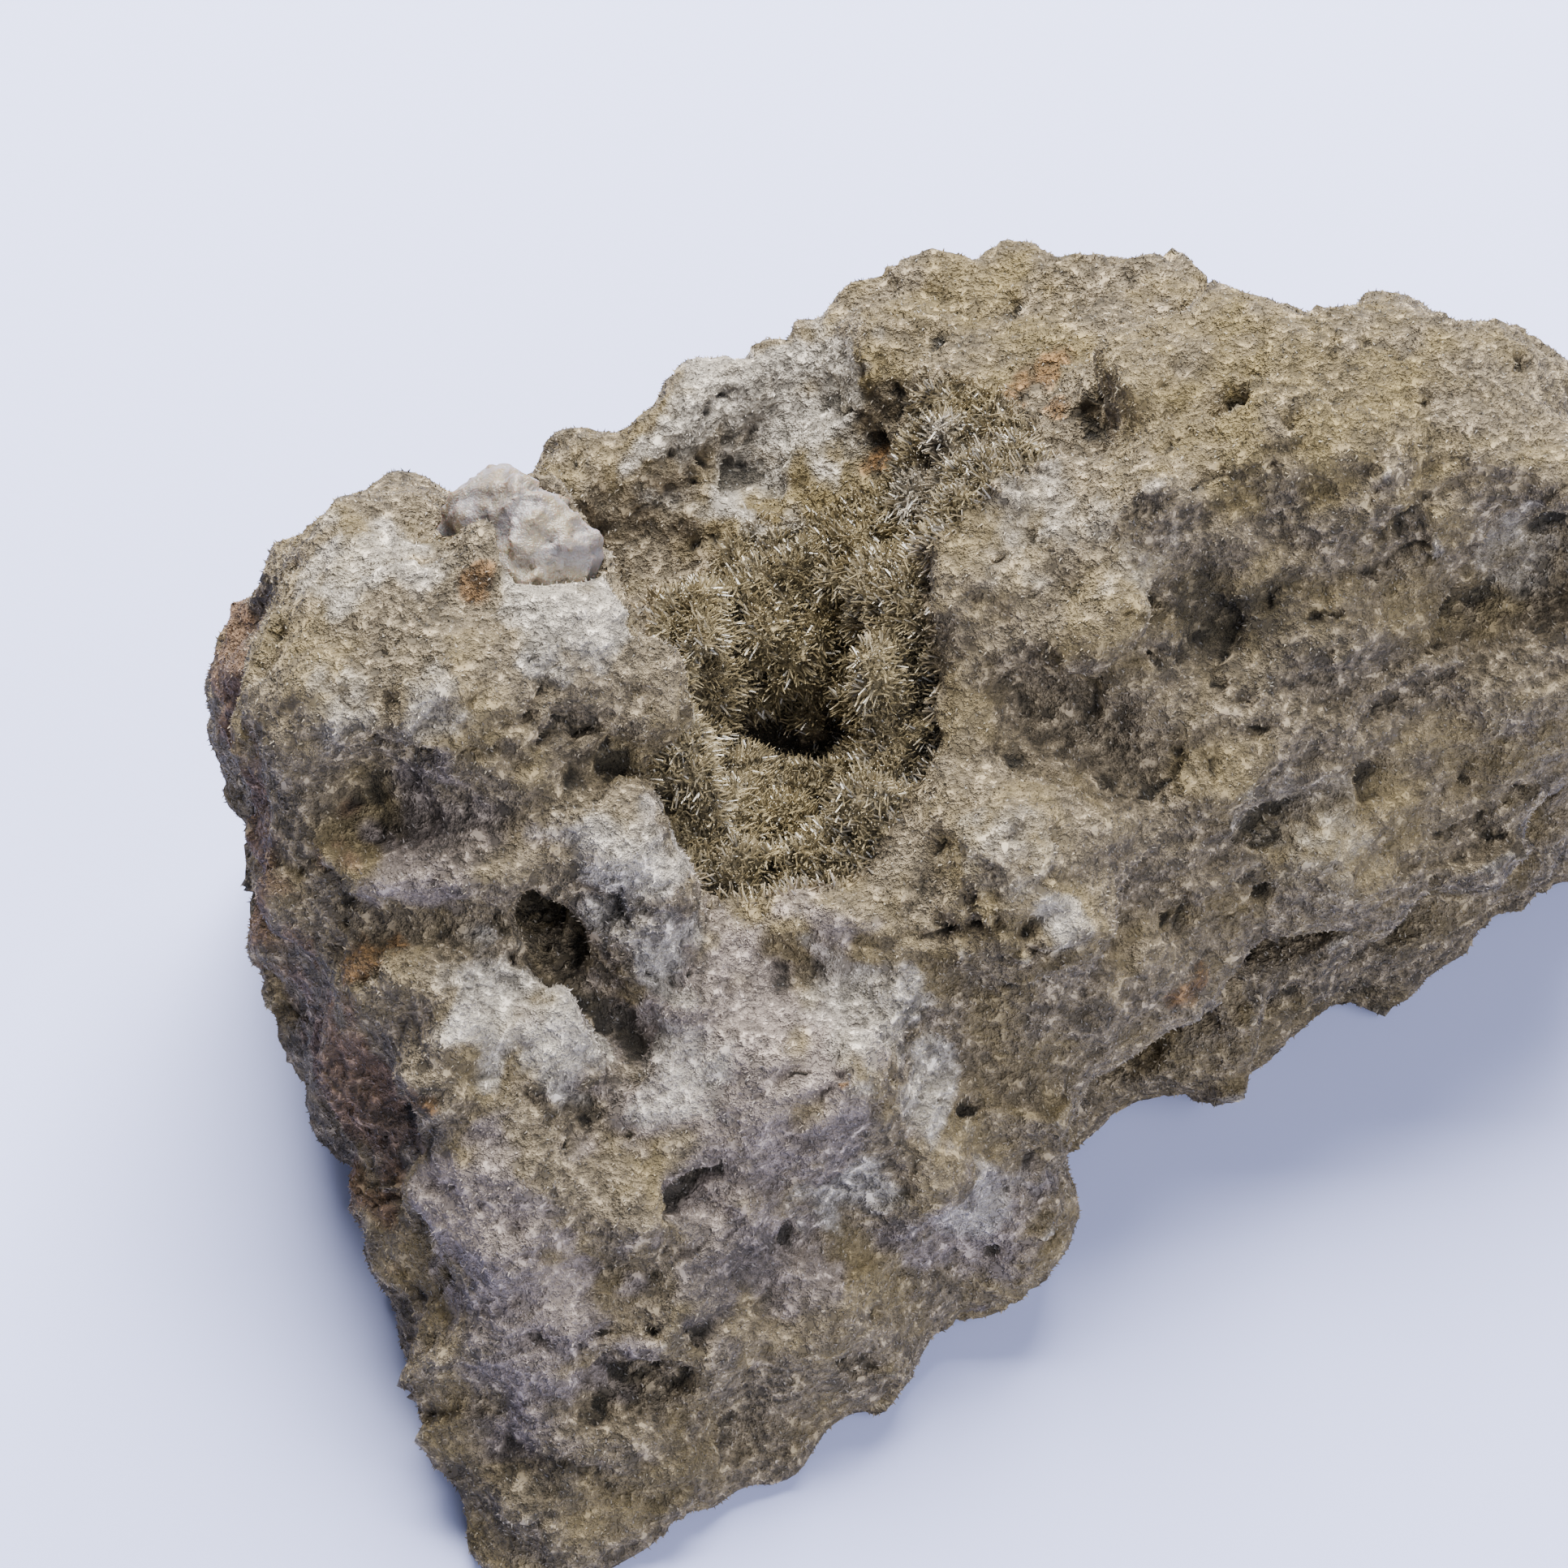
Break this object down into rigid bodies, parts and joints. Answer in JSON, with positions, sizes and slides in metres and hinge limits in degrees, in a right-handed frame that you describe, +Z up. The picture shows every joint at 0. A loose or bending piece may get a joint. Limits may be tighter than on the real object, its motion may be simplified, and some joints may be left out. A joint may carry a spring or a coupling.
{
  "type": "johannsenite mineral specimen",
  "caption": "Broken lump of felted johannsenite with a hollow lined with needle crystals, a white quartz grain, an overhanging end and a flat foot to rest on.",
  "frame": {"origin": "middle of the specimen's box, on the flat foot that it rests on", "axes": "+Z up; +X to the picture's right, along the overhanging right end; +Y away from the viewer"},
  "size_m": [0.0632, 0.0616, 0.0304],
  "materials": {
    "felted_johannsenite": "matt, rough, felted fibres",
    "johannsenite_needles": "fine glassy needles",
    "white_quartz": "glassy, cloudy white"
  },
  "bodies": {
    "root": {"johannsenite_rock": "felted_johannsenite", "needle_crust": "johannsenite_needles", "quartz_lump": "white_quartz"}
  },
  "joints": []
}
